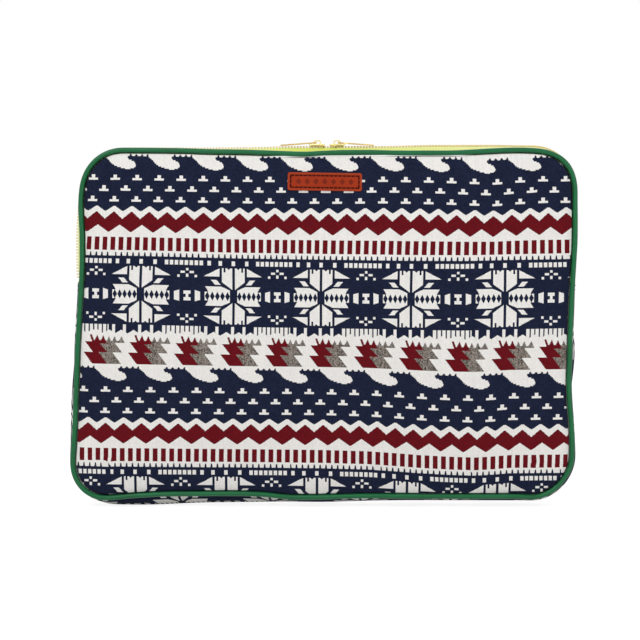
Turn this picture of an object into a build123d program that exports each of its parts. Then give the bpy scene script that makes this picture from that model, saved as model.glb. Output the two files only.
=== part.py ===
"""A padded laptop sleeve that stands on its bottom gusset, zipped shut.

Frame: +X to the wearer's right as the front is faced, +Y from the front panel to the back panel,
+Z up. The origin is the middle of the flat bottom. All sizes are in millimetres.

The front and back are padded panels: woven cloth, foam and lining. A padded gusset of the same cloth
joins them round the bottom and up the sides, and a two-slider zip joins them over the top. Both
panels have a corded piping in their edge seam. The mouth opens by folding the upper part of the
front panel forward, so every piece of the front is cut at that fold.
"""

import os
from math import cos, radians, sin

from build123d import *

# Overall size
width = 350.0
height = 245.0
depth = 30.0
corner_radius = 30.0

# Padded layers, from the outside in
cloth = 0.8
foam = 4.0
lining = 0.8
wall = cloth + foam + lining

# Piping: a cord inside a folded cover, in the seam along each panel's edge
piping_radius = 2.2
cord_radius = 1.6
piping_inset = 3.4
piping_y = 12.0

# Panels and gusset, which both stop at the piping
panel_inset = piping_inset + piping_radius + 0.05
gusset_half = piping_y - piping_radius - 0.05
cavity_half = depth / 2 - wall

# Binding tape over the raw edges of the seams, inside the corners
binding_thick = 3.0
binding_wide = 3.5

# Zip: it starts on each side at zip_foot and runs over the top
zip_foot = 152.0
tape_thick = 0.5
tape_crown_inset = 0.15
tape_shoulder_y = 4.6
teeth_outer_inset = -1.0
teeth_inner_inset = 1.4
teeth_gap_half = 0.8
teeth_half = 2.4
stop_height = 2.4
stop_half = 3.6

# Fold of the front panel, where the mouth hinges open
fold_z = 172.0
fold_gap = 0.4

# Sliders: they meet mouth to mouth near the middle of the top
meeting_x = 1.7
meeting_gap = 3.0
slider_length = 11.0
slider_mouth_half = 4.3
slider_tail_half = 3.3
plate_thick = 0.8
top_plate_z = height - teeth_outer_inset + 0.7
bottom_plate_z = height - teeth_inner_inset - 0.6 - plate_thick
post_half = 0.5
bridge_radius = 1.75
bridge_thick = 0.8
bridge_half = 1.0
pivot_rise = 0.9
slider_x = meeting_x + meeting_gap / 2 + slider_length / 2
pivot_x = slider_x + 0.8
pivot_z = top_plate_z + plate_thick + pivot_rise

# Pulls: flat tabs whose cross bar turns under the slider's bridge
pull_tilt = 4.2
pull_thick = 0.9
pull_half = 3.0
pull_length = 24.5
pull_bar_radius = 0.6
eye_half = 1.5
eye_end = 2.6

# Leather label
label_width = 51.0
label_height = 12.4
label_thick = 1.5
label_x = -1.5
label_z = 221.5
stitch_length = 1.9
stitch_wide = 0.55
stitch_rise = 0.2
stitch_inset = 2.0
stitch_columns = 17
stitch_rows = 3


def outline(inset, mode=Mode.ADD):
    """Draws the sleeve's rounded outline, moved inwards by inset, in the sketch being built."""
    with Locations((0, height / 2)):
        RectangleRounded(
            width - 2 * inset, height - 2 * inset, corner_radius - inset, mode=mode
        )


def trim(above, below):
    """Cuts the part being built to what lies above one height and below another."""
    if above is not None:
        split(bisect_by=Plane.XY.offset(above), keep=Keep.TOP)
    if below is not None:
        split(bisect_by=Plane.XY.offset(below), keep=Keep.BOTTOM)


def finished(builder, name):
    """Labels a built part and writes it as its own STEP file."""
    builder.part.label = name
    export_step(builder.part, f"parts/{name}.step")


def make_layer(name, front_y, back_y, above=None, below=None):
    """A flat layer of a panel between two planes square to Y."""
    with BuildPart() as layer:
        with BuildSketch(Plane.XZ.offset(-back_y)):
            outline(panel_inset)
        extrude(amount=back_y - front_y)
        trim(above, below)
    finished(layer, name)


def make_band(name, outer, inner, front_y, back_y, above=None, below=None):
    """A band that follows the outline, between two insets and two planes square to Y."""
    with BuildPart() as band:
        with BuildSketch(Plane.XZ.offset(-back_y)):
            outline(outer)
            outline(inner, mode=Mode.SUBTRACT)
        extrude(amount=back_y - front_y)
        trim(above, below)
    finished(band, name)


def make_tube(name, side, outer_radius, inner_radius, above=None, below=None):
    """A round tube or rod along the piping's line, on the front (side -1) or the back (side 1)."""
    rail_half = width / 2 - piping_inset
    rail_top = height - piping_inset
    with BuildPart() as tube:
        with BuildLine(Plane.XZ.offset(-side * piping_y)):
            FilletPolyline(
                (0, piping_inset),
                (rail_half, piping_inset),
                (rail_half, rail_top),
                (0, rail_top),
                radius=corner_radius - piping_inset,
            )
        with BuildSketch(Plane.YZ):
            with Locations((side * piping_y, piping_inset)):
                Circle(outer_radius)
                if inner_radius:
                    Circle(inner_radius, mode=Mode.SUBTRACT)
        sweep()
        mirror(about=Plane.YZ)
        trim(above, below)
    finished(tube, name)


def make_tape(name, side, above, below=None):
    """Half of the zip tape: it climbs from the piping's back to a flat crown beside the teeth."""
    crown_outer = tape_crown_inset
    crown_inner = tape_crown_inset + tape_thick
    seam_outer = piping_inset - tape_thick / 2
    seam_inner = piping_inset + tape_thick / 2
    profile = [
        (seam_outer, gusset_half),
        (crown_outer, tape_shoulder_y),
        (crown_outer, teeth_half),
        (crown_inner, teeth_half),
        (crown_inner, tape_shoulder_y),
        (seam_inner, gusset_half),
    ]
    rail_inset = tape_crown_inset
    rail_half = width / 2 - rail_inset
    rail_top = height - rail_inset
    with BuildPart() as tape:
        with BuildLine(Plane.XZ):
            FilletPolyline(
                (-rail_half, zip_foot),
                (-rail_half, rail_top),
                (rail_half, rail_top),
                (rail_half, zip_foot),
                radius=corner_radius - rail_inset,
            )
        with BuildSketch(Plane.XY.offset(zip_foot)):
            corners = [(inset - width / 2, side * y) for inset, y in profile]
            Polygon(*corners, align=None)
        sweep()
        trim(above if above > zip_foot else None, below)
    finished(tape, name)


os.makedirs("parts", exist_ok=True)

front_y = -depth / 2
back_y = depth / 2
fold_low = fold_z - fold_gap / 2
fold_high = fold_z + fold_gap / 2
teeth_foot = zip_foot + 3.0

# Front panel: cloth, foam and lining, each in a lower part and a flap above the fold
front_layers = [
    ("front_cloth", front_y, front_y + cloth),
    ("front_foam", front_y + cloth, front_y + cloth + foam),
    ("front_lining", front_y + cloth + foam, front_y + wall),
]
for layer_name, layer_front, layer_back in front_layers:
    make_layer(f"{layer_name}_lower", layer_front, layer_back, below=fold_low)
    make_layer(f"{layer_name}_flap", layer_front, layer_back, above=fold_high)

# Back panel, in one height
make_layer("back_lining", back_y - wall, back_y - wall + lining)
make_layer("back_foam", back_y - wall + lining, back_y - cloth)
make_layer("back_cloth", back_y - cloth, back_y)

# Gusset round the bottom and up both sides to the foot of the zip
make_band("gusset_cloth", 0, cloth, -gusset_half, gusset_half, below=zip_foot)
make_band("gusset_foam", cloth, cloth + foam, -gusset_half, gusset_half, below=zip_foot)
make_band(
    "gusset_lining", cloth + foam, wall, -cavity_half, cavity_half, below=zip_foot
)

# Piping covers and the cords inside them
make_tube("front_piping_lower", -1, piping_radius, cord_radius, below=fold_low)
make_tube("front_piping_flap", -1, piping_radius, cord_radius, above=fold_high)
make_tube("front_piping_cord_lower", -1, cord_radius, 0, below=fold_low)
make_tube("front_piping_cord_flap", -1, cord_radius, 0, above=fold_high)
make_tube("back_piping", 1, piping_radius, cord_radius)
make_tube("back_piping_cord", 1, cord_radius, 0)

# Binding tape along the inner corners
binding = (wall, wall + binding_thick)
binding_front = (-cavity_half, binding_wide - cavity_half)
binding_back = (cavity_half - binding_wide, cavity_half)
make_band("front_binding_lower", *binding, *binding_front, below=fold_low)
make_band("front_binding_flap", *binding, *binding_front, above=fold_high)
make_band("back_binding", *binding, *binding_back)

# Zip tapes: the front one opens with the flap, but for its two ends below the fold
make_tape("zip_tape_front", -1, fold_high)
make_tape("zip_tape_front_ends", -1, zip_foot, below=fold_low)
make_tape("zip_tape_back", 1, zip_foot)

# Rows of zip teeth, as plain strips of the teeth's outer size
teeth = (teeth_outer_inset, teeth_inner_inset)
teeth_front = (-teeth_half, -teeth_gap_half)
teeth_back = (teeth_gap_half, teeth_half)
make_band("zip_teeth_front", *teeth, *teeth_front, above=fold_high)
make_band(
    "zip_teeth_front_ends", *teeth, *teeth_front, above=teeth_foot, below=fold_low
)
make_band("zip_teeth_back", *teeth, *teeth_back, above=teeth_foot)

# End stops: a metal bar across both tapes under the last teeth, one on each side
with BuildPart() as zip_end_stops:
    for stop_side in (Align.MIN, Align.MAX):
        stop_face = width / 2 - tape_crown_inset
        stop_x = stop_face if stop_side == Align.MIN else -stop_face
        with Locations((stop_x, 0, zip_foot + 0.3)):
            Box(
                tape_crown_inset - teeth_outer_inset,
                2 * stop_half,
                stop_height,
                align=(stop_side, Align.CENTER, Align.MIN),
            )
    fillet(zip_end_stops.edges().filter_by(Axis.X), 0.6)
finished(zip_end_stops, "zip_end_stops")

# Right slider: two plates on a post, a back flange that holds the back teeth, and a bridge
mouth_x = slider_x - slider_length / 2
tail_x = slider_x + slider_length / 2
neck_x = mouth_x + 0.4 * slider_length
plate_corners = [
    (mouth_x, -slider_mouth_half),
    (neck_x, -slider_mouth_half),
    (tail_x, -slider_tail_half),
    (tail_x, slider_tail_half),
    (neck_x, slider_mouth_half),
    (mouth_x, slider_mouth_half),
]
with BuildPart() as zip_slider_right:
    with BuildSketch(Plane.XY.offset(top_plate_z)) as top_plate:
        Polygon(*plate_corners, align=None)
        fillet(top_plate.vertices(), 1.2)
    extrude(amount=plate_thick)
    fillet(zip_slider_right.edges().group_by(Axis.Z)[-1], 0.45)
    with BuildSketch(Plane.XY.offset(bottom_plate_z)) as bottom_plate:
        Polygon(*plate_corners, align=None)
        fillet(bottom_plate.vertices(), 1.2)
    extrude(amount=plate_thick)
    fillet(zip_slider_right.edges().group_by(Axis.Z)[0], 0.3)
    post_low = bottom_plate_z + plate_thick
    with BuildSketch(Plane.XY.offset(post_low)):
        Polygon(
            (slider_x - 5.0, 0),
            (slider_x - 4.2, post_half),
            (slider_x - 2.2, post_half),
            (slider_x - 0.9, 0),
            (slider_x - 2.2, -post_half),
            (slider_x - 4.2, -post_half),
            align=None,
        )
    extrude(amount=top_plate_z - post_low)
    # Flanges behind the back teeth, above and below the tape
    flange_inner = teeth_half + 0.4
    tape_top = height - tape_crown_inset
    tape_bottom = tape_top - tape_thick
    for flange_low, flange_high in (
        (tape_top + 0.3, top_plate_z),
        (post_low, tape_bottom - 0.3),
    ):
        with BuildSketch(Plane.XY.offset(flange_low)):
            with Locations((slider_x + 1.4, flange_inner)):
                Rectangle(
                    slider_length - 4.4, 0.5, align=(Align.CENTER, Align.MIN)
                )
        extrude(amount=flange_high - flange_low)
    # Bridge: a slot-shaped loop whose foot sinks into the top plate
    with BuildSketch(Plane.XZ.offset(-bridge_half)):
        with Locations((pivot_x - bridge_radius / 2, pivot_z)):
            SlotCenterToCenter(bridge_radius, 2 * bridge_radius)
            SlotCenterToCenter(
                bridge_radius, 2 * (bridge_radius - bridge_thick), mode=Mode.SUBTRACT
            )
    extrude(amount=2 * bridge_half)
finished(zip_slider_right, "zip_slider_right")

# Right pull: a tab with a round cross bar and an eye that passes round the bridge's leg
pull_plane = Plane(
    origin=(pivot_x, 0, pivot_z),
    x_dir=(cos(radians(pull_tilt)), 0, -sin(radians(pull_tilt))),
    z_dir=(sin(radians(pull_tilt)), 0, cos(radians(pull_tilt))),
)
with BuildPart() as zip_pull_right:
    with BuildSketch(pull_plane.offset(-pull_thick / 2)) as pull_tab:
        Polygon(
            (0, -pull_half),
            (eye_end + 1.2, -pull_half),
            (eye_end + 4.0, -0.62 * pull_half),
            (0.72 * pull_length, -pull_half),
            (pull_length, -0.55 * pull_half),
            (pull_length, 0.55 * pull_half),
            (0.72 * pull_length, pull_half),
            (eye_end + 4.0, 0.62 * pull_half),
            (eye_end + 1.2, pull_half),
            (0, pull_half),
            align=None,
        )
        fillet(pull_tab.vertices().filter_by_position(Axis.X, 0.1, 1000), 0.7)
        with Locations((eye_end / 2, 0)):
            Rectangle(eye_end, 2 * eye_half, mode=Mode.SUBTRACT)
        with Locations((0.76 * pull_length, 0)):
            SlotOverall(0.24 * pull_length, 0.75 * pull_half, mode=Mode.SUBTRACT)
    extrude(amount=pull_thick)
    with BuildSketch(Plane.XZ.offset(-pull_half)):
        with Locations((pivot_x, pivot_z)):
            Circle(pull_bar_radius)
    extrude(amount=2 * pull_half)
finished(zip_pull_right, "zip_pull_right")

# The left slider and pull mirror the right ones about the place where they meet
with BuildPart() as zip_slider_left:
    mirror(zip_slider_right.part, about=Plane.YZ.offset(meeting_x))
finished(zip_slider_left, "zip_slider_left")

with BuildPart() as zip_pull_left:
    mirror(zip_pull_right.part, about=Plane.YZ.offset(meeting_x))
finished(zip_pull_left, "zip_pull_left")

# Leather label, with a pressed groove inside its line of stitches
label_face = Plane.XZ.offset(depth / 2 + label_thick)
with BuildPart() as label_patch:
    with BuildSketch(Plane.XZ.offset(depth / 2)):
        with Locations((label_x, label_z)):
            RectangleRounded(label_width, label_height, 0.8)
    extrude(amount=label_thick)
    fillet(label_patch.edges().group_by(Axis.Y)[0], 0.3)
    with BuildSketch(label_face):
        with Locations((label_x, label_z)):
            RectangleRounded(
                label_width - 3 * stitch_inset, label_height - 3 * stitch_inset, 0.8
            )
            RectangleRounded(
                label_width - 3.4 * stitch_inset,
                label_height - 3.4 * stitch_inset,
                0.6,
                mode=Mode.SUBTRACT,
            )
    extrude(amount=-0.25, mode=Mode.SUBTRACT)
finished(label_patch, "label")

# Label stitches: a run along the top and bottom edges and up each end
stitch_run_x = label_width - 2 * stitch_inset
stitch_run_z = label_height - 2 * stitch_inset
with BuildPart() as label_stitches:
    with BuildSketch(label_face):
        with Locations((label_x, label_z)):
            with GridLocations(
                stitch_run_x / stitch_columns, stitch_run_z, stitch_columns, 2
            ):
                SlotOverall(stitch_length, stitch_wide)
            with GridLocations(
                stitch_run_x, stitch_run_z / stitch_rows, 2, stitch_rows
            ):
                SlotOverall(stitch_length, stitch_wide, rotation=90)
    extrude(amount=stitch_rise)
finished(label_stitches, "label_stitches")
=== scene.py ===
import math

import bmesh
import bpy
import numpy as np
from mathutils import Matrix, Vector
from mathutils.bvhtree import BVHTree


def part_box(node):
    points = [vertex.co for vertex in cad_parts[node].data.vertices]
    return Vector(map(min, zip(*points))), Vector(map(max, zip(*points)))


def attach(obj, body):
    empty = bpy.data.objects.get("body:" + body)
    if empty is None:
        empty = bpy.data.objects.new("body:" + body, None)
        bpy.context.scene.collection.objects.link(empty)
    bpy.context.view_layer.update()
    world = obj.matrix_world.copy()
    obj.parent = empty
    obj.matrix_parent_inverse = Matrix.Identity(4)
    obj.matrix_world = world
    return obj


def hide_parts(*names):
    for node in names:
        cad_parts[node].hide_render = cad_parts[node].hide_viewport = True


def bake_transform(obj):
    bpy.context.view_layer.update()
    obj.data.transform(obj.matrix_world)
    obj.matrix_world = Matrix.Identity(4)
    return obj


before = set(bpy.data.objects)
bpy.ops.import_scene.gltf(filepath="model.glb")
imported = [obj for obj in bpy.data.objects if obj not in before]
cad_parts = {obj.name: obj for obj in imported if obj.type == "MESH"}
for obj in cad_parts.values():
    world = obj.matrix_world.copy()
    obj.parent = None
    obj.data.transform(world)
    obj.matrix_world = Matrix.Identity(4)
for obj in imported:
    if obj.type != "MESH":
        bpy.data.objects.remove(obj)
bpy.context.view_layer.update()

# ---------------------------------------------------------------------------------------------
# Front cloth: a heavy cotton jacquard in off-white, navy, dark red and grey yarn, cut to a rounded
# rectangle and sewn along its edge, where it turns down over the foam. Sewing and handling have
# pulled the edge a few millimetres out of true, so everything sewn to it follows the same drift.
MM = 0.001
TAPE_INSET = 0.15
HALF_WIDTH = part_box("gusset_cloth")[1].x / MM
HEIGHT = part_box("zip_tape_back")[1].z / MM + TAPE_INSET
CORNER = 30.0
CORE_X = HALF_WIDTH - CORNER
CORE_LOW, CORE_HIGH = CORNER, HEIGHT - CORNER
PIPING_Y = 12.0
SEAM_INSET, SEAM_Y = 5.65, 12.3
CLOTH = 0.8
CELL = 0.695
REPEAT_U, REPEAT_V = 90.0, 210.0
EASING = 26


def eased(*stations):
    """A gentle line through a few (place, drift) stations along an edge, as a function."""
    places, drifts = zip(*stations)
    fine = np.linspace(places[0] - 80, places[-1] + 80, 900)
    hump = np.hanning(int(EASING / (fine[1] - fine[0])) | 1)
    rough = np.interp(fine, places, drifts)
    padded = np.pad(rough, len(hump) // 2, mode="edge")
    smooth = np.convolve(padded, hump / hump.sum(), mode="valid")
    return lambda place: np.interp(place, fine, smooth)


# Drift of the front edge, of the ridge between the panels and of the back edge: left and right
# edges sideways by height, bottom and top edges upwards by place across.
EDGE_DRIFT = {
    "front": {
        "left": eased((8, -4.6), (20, -3.6), (50, -1.4), (80, 0), (109, 1.0), (137, 3.0),
                      (160, 4.4), (185, 4.6), (205, 3.4), (220, 5.1), (240, 5.8)),
        "right": eased((8, -3.6), (18, -2.4), (30, -0.2), (40, -0.4), (54, -0.8), (68, -2.4),
                       (84, -3.1), (100, -2.5), (123, -2.1), (150, -1.0), (164, -0.1),
                       (182, 0.8), (205, 0.6), (222, 0.4), (238, 2.4)),
        "bottom": eased((-158, -1.6), (-144, -0.5), (-127, 1.0), (-106, 2.2), (-56, 2.4),
                        (-39, 2.0), (-20, -0.3), (0, -0.2), (31, 0.9), (60, 0.5), (127, 0.3),
                        (140, 0.6), (152, -0.8)),
        "top": eased((-150, 1.5), (-128, 1.4), (-100, 1.1), (-85, 0.4), (-60, 0.2), (-40, -0.6),
                     (-18, -1.5), (2, -0.2), (28, 0), (44, -0.5), (86, -0.5), (104, 0.5),
                     (122, 1.5), (138, 1.6), (150, 0.4)),
    },
    "ridge": {
        "left": eased((29, -1.4), (50, -0.3), (80, 1.0), (105, 1.8), (126, 2.8), (146, 4.8),
                      (164, 3.6), (192, 3.8), (208, 5.4), (222, 6.8), (240, 7.4)),
        "right": eased((29, -1.0), (64, -3.2), (84, -4.0), (119, -3.3), (147, -2.4),
                       (161, -1.9), (182, -1.4), (209, -2.2), (228, -2.2), (244, -0.6)),
        "bottom": eased((-165, -1.8), (-148, -3.6), (-120, -4), (-85, -2.4), (-50, -2),
                        (-20, -1.5), (0, -1.9), (30, -1.0), (60, -0.4), (150, -0.6)),
        "top": eased((-150, -1.1), (-138, -0.8), (-112, -0.9), (-90, -1.05), (-55, -0.7), (-30, 0),
                     (40, 0), (70, 0.85), (118, 0.85), (138, 0.5), (150, 0.35)),
    },
    "back": {
        "left": eased((10, -4.6), (65, -4.4), (90, -2.5), (115, 1.0), (160, 3.0), (220, 4.4)),
        "right": eased((29, -0.5), (75, -1.5), (90, 1.2), (107, 2.0), (120, 0), (200, -1.0)),
        "bottom": eased((-150, 0.2), (-60, 1.0), (20, 0.4), (150, 1.0)),
        "top": eased((-140, -0.6), (-50, -0.9), (60, 0.2), (140, -0.4)),
    },
}


def smoothstep(value):
    value = np.clip(value, 0, 1)
    return value * value * (3 - 2 * value)


def settled(points):
    """Points of the true outline, moved by the drift of the edge or ridge that they are near."""
    points = np.array(points, float).reshape(-1, 3)
    x, y, z = points.T
    near_front, near_back = smoothstep(-y / PIPING_Y), smoothstep(y / PIPING_Y)
    shares = {"front": near_front, "back": near_back, "ridge": 1 - near_front - near_back}
    across = smoothstep((x + HALF_WIDTH) / (2 * HALF_WIDTH))
    up = smoothstep(z / HEIGHT)
    shift_x, shift_z = np.zeros(len(x)), np.zeros(len(x))
    for name, share in shares.items():
        edge = EDGE_DRIFT[name]
        shift_x += share * ((1 - across) * edge["left"](z) + across * edge["right"](z))
        shift_z += share * ((1 - up) * edge["bottom"](x) + up * edge["top"](x))
    return np.column_stack([x + shift_x, y, z + shift_z])


def face_outwards(mesh):
    """Turns all faces of a closed mesh outwards."""
    shell = bmesh.new()
    shell.from_mesh(mesh)
    bmesh.ops.recalc_face_normals(shell, faces=shell.faces)
    shell.to_mesh(mesh)
    shell.free()


def make_piece(name, points, faces, closed=False):
    """A smooth-shaded mesh object from points in millimetres, at the origin."""
    mesh = bpy.data.meshes.new(name)
    mesh.from_pydata((np.asarray(points) * MM).tolist(), [], faces)
    if closed:
        face_outwards(mesh)
    mesh.polygons.foreach_set("use_smooth", [True] * len(mesh.polygons))
    piece = bpy.data.objects.new(name, mesh)
    bpy.context.scene.collection.objects.link(piece)
    return piece


def panel_grid(insets, spacing=5.0):
    """Plan of a panel: a square core grid, and rings round it that fan out at the corners.

    Returns the plan points (x, z), each point's inset from the outline, the faces as seen from
    the front, and the points of the outermost ring."""
    columns = round(2 * CORE_X / spacing)
    rows = round((CORE_HIGH - CORE_LOW) / spacing)
    xs = np.linspace(-CORE_X, CORE_X, columns + 1)
    zs = np.linspace(CORE_LOW, CORE_HIGH, rows + 1)
    core = {}
    points, depths = [], []
    for j, z in enumerate(zs):
        for i, x in enumerate(xs):
            core[i, j] = len(points)
            points.append((x, z))
            depths.append(CORNER + min(CORE_X - abs(x), z - CORE_LOW, CORE_HIGH - z))
    faces = [
        (core[i, j], core[i + 1, j], core[i + 1, j + 1], core[i, j + 1])
        for j in range(rows)
        for i in range(columns)
    ]
    fan = 9
    sides = [
        ([(i, 0) for i in range(columns + 1)], -90),
        ([(columns, j) for j in range(rows + 1)], 0),
        ([(i, rows) for i in range(columns, -1, -1)], 90),
        ([(0, j) for j in range(rows, -1, -1)], 180),
    ]
    stations = []
    for nodes, facing in sides:
        stations += [(core[node], facing) for node in nodes]
        stations += [(core[nodes[-1]], facing + 90 * k / fan) for k in range(1, fan)]
    inner = [node for node, _ in stations]
    count = len(stations)
    for inset in sorted(insets, reverse=True):
        ring = []
        for node, facing in stations:
            turn = math.radians(facing)
            reach = CORNER - inset
            x, z = points[node]
            ring.append(len(points))
            points.append((x + reach * math.cos(turn), z + reach * math.sin(turn)))
            depths.append(inset)
        for k in range(count):
            n = (k + 1) % count
            if inner[k] == inner[n]:
                faces.append((inner[k], ring[k], ring[n]))
            else:
                faces.append((ring[k], ring[n], inner[n], inner[k]))
        inner = ring
    return np.array(points), np.array(depths), faces, inner


def drape(piece, sewn, cap, pressure, surplus, moments=20):
    """Lets sewn cloth swell over its filling by simulation, and keeps the settled shape.

    No point moves further than the cap, in millimetres. The surplus is the share by which the
    cloth was cut too large."""
    scene = bpy.context.scene
    group = piece.vertex_groups.new(name="sewn")
    group.add([int(k) for k in sewn], 1.0, "REPLACE")
    cloth = piece.modifiers.new("drape", "CLOTH")
    cloth.settings.quality = 6
    cloth.settings.mass = 0.3
    cloth.settings.tension_stiffness = cloth.settings.compression_stiffness = 25
    cloth.settings.shear_stiffness = 12
    cloth.settings.bending_stiffness = 2.5
    cloth.settings.use_pressure = True
    cloth.settings.uniform_pressure_force = pressure
    cloth.settings.shrink_min = -surplus
    cloth.settings.vertex_group_mass = "sewn"
    cloth.settings.effector_weights.gravity = 0
    cloth.collision_settings.use_collision = False
    cloth.point_cache.frame_start, cloth.point_cache.frame_end = 1, moments
    for moment in range(1, moments + 1):
        scene.frame_set(moment)
    count = len(piece.data.vertices)
    before, after = np.zeros(count * 3), np.zeros(count * 3)
    piece.data.vertices.foreach_get("co", before)
    shape = piece.evaluated_get(bpy.context.evaluated_depsgraph_get())
    shape.data.vertices.foreach_get("co", after)
    move = (after - before).reshape(-1, 3)
    far = np.linalg.norm(move, axis=1, keepdims=True)
    move *= cap * MM / (cap * MM + far)
    piece.modifiers.remove(cloth)
    piece.vertex_groups.remove(piece.vertex_groups["sewn"])
    piece.data.vertices.foreach_set("co", before + move.ravel())
    piece.data.update()
    scene.frame_set(1)


def positions(piece):
    """A piece's points in millimetres, as an array."""
    flat = np.zeros(len(piece.data.vertices) * 3)
    piece.data.vertices.foreach_get("co", flat)
    return flat.reshape(-1, 3) / MM


def lay_weave(piece, u, v):
    """Gives a piece the weave's own coordinates, in cells of the weave."""
    layer = piece.data.uv_layers.new(name="weave")
    corners = np.zeros(len(piece.data.loops), int)
    piece.data.loops.foreach_get("vertex_index", corners)
    layer.data.foreach_set("uv", np.column_stack([u[corners], v[corners]]).ravel())


def soften(piece, thickness=0.0, side=-1):
    """Rounds a piece by subdivision, and gives a sheet its thickness behind (-1) or before (1)."""
    smooth = piece.modifiers.new("rounding", "SUBSURF")
    smooth.levels = smooth.render_levels = 1
    smooth.uv_smooth = "NONE"
    if thickness:
        wall = piece.modifiers.new("thickness", "SOLIDIFY")
        wall.thickness, wall.offset = thickness * MM, side


def linear(red, green, blue):
    """A colour of 0 to 255 display values as the linear values that a shader takes."""
    values = [c / 255 for c in (red, green, blue)]
    return tuple(c / 12.92 if c < 0.04045 else ((c + 0.055) / 1.055) ** 2.4 for c in values) + (1,)


class Finish:
    """A material that is being mixed: makes its nodes, joins them, and does sums with them."""

    def __init__(self, name, roughness, **sockets):
        self.material = bpy.data.materials.new(name)
        self.material.use_nodes = True
        self.tree = self.material.node_tree
        self.shader = self.tree.nodes["Principled BSDF"]
        self.shader.inputs["Roughness"].default_value = roughness
        for socket, value in sockets.items():
            self.shader.inputs[socket.replace("_", " ")].default_value = value

    def node(self, kind, inputs=None, **settings):
        made = self.tree.nodes.new("ShaderNode" + kind)
        for key, value in settings.items():
            setattr(made, key, value)
        for key, value in (inputs or {}).items():
            self.join(value, made.inputs[key])
        return made

    def join(self, value, socket):
        if isinstance(value, Sum):
            value = value.socket
        if isinstance(value, bpy.types.NodeSocket):
            self.tree.links.new(value, socket)
        else:
            socket.default_value = value

    def sum(self, operation, *values):
        made = self.node("Math", dict(enumerate(values)), operation=operation)
        return Sum(self, made.outputs[0])

    def mix(self, share, first, second):
        made = self.node("Mix", {0: share, 6: first, 7: second}, data_type="RGBA")
        return made.outputs[2]

    def noise(self, vector, scale, detail=2.0, rough=0.5):
        made = self.node("TexNoise", {"Vector": vector, "Scale": scale, "Detail": detail,
                                      "Roughness": rough})
        return Sum(self, made.outputs[0])

    def place(self):
        return self.node("TexCoord").outputs["Object"]

    def bump(self, height, strength, distance):
        made = self.node("Bump", {"Height": height, "Strength": strength,
                                  "Distance": distance * MM})
        self.tree.links.new(made.outputs[0], self.shader.inputs["Normal"])

    def colour(self, value):
        self.join(value, self.shader.inputs["Base Color"])

    def threads(self):
        """How far along (in cells or millimetres) and across, from the piece's own coordinates."""
        own = self.node("SeparateXYZ", {0: self.node("UVMap", uv_map="weave").outputs[0]})
        return Sum(self, own.outputs[0]), Sum(self, own.outputs[1])

    def twilled(self, scale, first, second, strength, distance, distortion=0.0):
        """Fine slanting lines, as of twill or twisted yarn, in two colours and in relief."""
        wave = self.node("TexWave", {"Vector": self.place(), "Scale": scale,
                                     "Distortion": distortion}, bands_direction="DIAGONAL")
        self.colour(self.mix(wave.outputs[1], linear(*first), linear(*second)))
        self.bump(wave.outputs[1], strength, distance)


class Sum:
    """A number that changes over a surface. Sums and comparisons of it become Math nodes."""

    def __init__(self, finish, socket):
        self.finish, self.socket = finish, socket

    def __add__(self, other):
        return self.finish.sum("ADD", self, other)

    def __sub__(self, other):
        return self.finish.sum("SUBTRACT", self, other)

    def __rsub__(self, other):
        return self.finish.sum("SUBTRACT", other, self)

    def __mul__(self, other):
        return self.finish.sum("MULTIPLY", self, other)

    def __truediv__(self, other):
        return self.finish.sum("DIVIDE", self, other)

    def __mod__(self, other):
        return self.finish.sum("FLOORED_MODULO", self, other)

    def __abs__(self):
        return self.finish.sum("ABSOLUTE", self)

    def __lt__(self, other):
        return self.finish.sum("LESS_THAN", self, other)

    def __gt__(self, other):
        return self.finish.sum("GREATER_THAN", self, other)

    def __and__(self, other):
        return self.finish.sum("MULTIPLY", self, other)

    def __or__(self, other):
        return self.finish.sum("MAXIMUM", self, other)

    def __invert__(self):
        return self.finish.sum("SUBTRACT", 1.0, self)

    def off(self, centre, pitch=None):
        """How far it is from a place, or from the nearest of a row of places a pitch apart."""
        if pitch is None:
            return abs(self - centre)
        return abs((self - (centre - pitch / 2)) % pitch - pitch / 2)

    def within(self, low, high):
        return (self > low) & (self < high)

    def curve(self, *stations):
        """A drawn line over it from 0 to 1, as straight runs between stations."""
        made = self.finish.node("FloatCurve", {"Value": self})
        line = made.mapping.curves[0]
        ends, between = (stations[0], stations[-1]), stations[1:-1]
        for point, station in zip((line.points[0], line.points[-1]), ends):
            point.location = station
        for station in between:
            line.points.new(*station)
        for point in line.points:
            point.handle_type = "VECTOR"
        made.mapping.update()
        return Sum(self.finish, made.outputs[0])


weave = Finish("woven_jacquard", 0.95, Specular_IOR_Level=0.06, Sheen_Weight=0.03,
               Sheen_Roughness=0.5)
thread_u, thread_v = weave.threads()

# The woven drawing, in cells of one yarn each: u runs across from a star's middle, v down from
# the top of the wave band, and the whole repeats every 90 by 210 cells. The second repeat lies
# a few cells further over. Slanting edges climb in half-cell steps, as the yarns do: fine_u and
# fine_v run evenly, and cell_u and cell_v by those steps.
HALF_U, STAR_MIDDLE = REPEAT_U / 2, 138.7
SECOND_REPEAT, SHIFT_OVER = 208.5, 3
fine_u = (thread_u + (thread_v > SECOND_REPEAT) * SHIFT_OVER + HALF_U) % REPEAT_U - HALF_U
fine_v = thread_v % REPEAT_V
cell_u = weave.sum("SNAP", fine_u, 0.5) + 0.25
cell_v = weave.sum("SNAP", fine_v, 0.5) + 0.25

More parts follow.
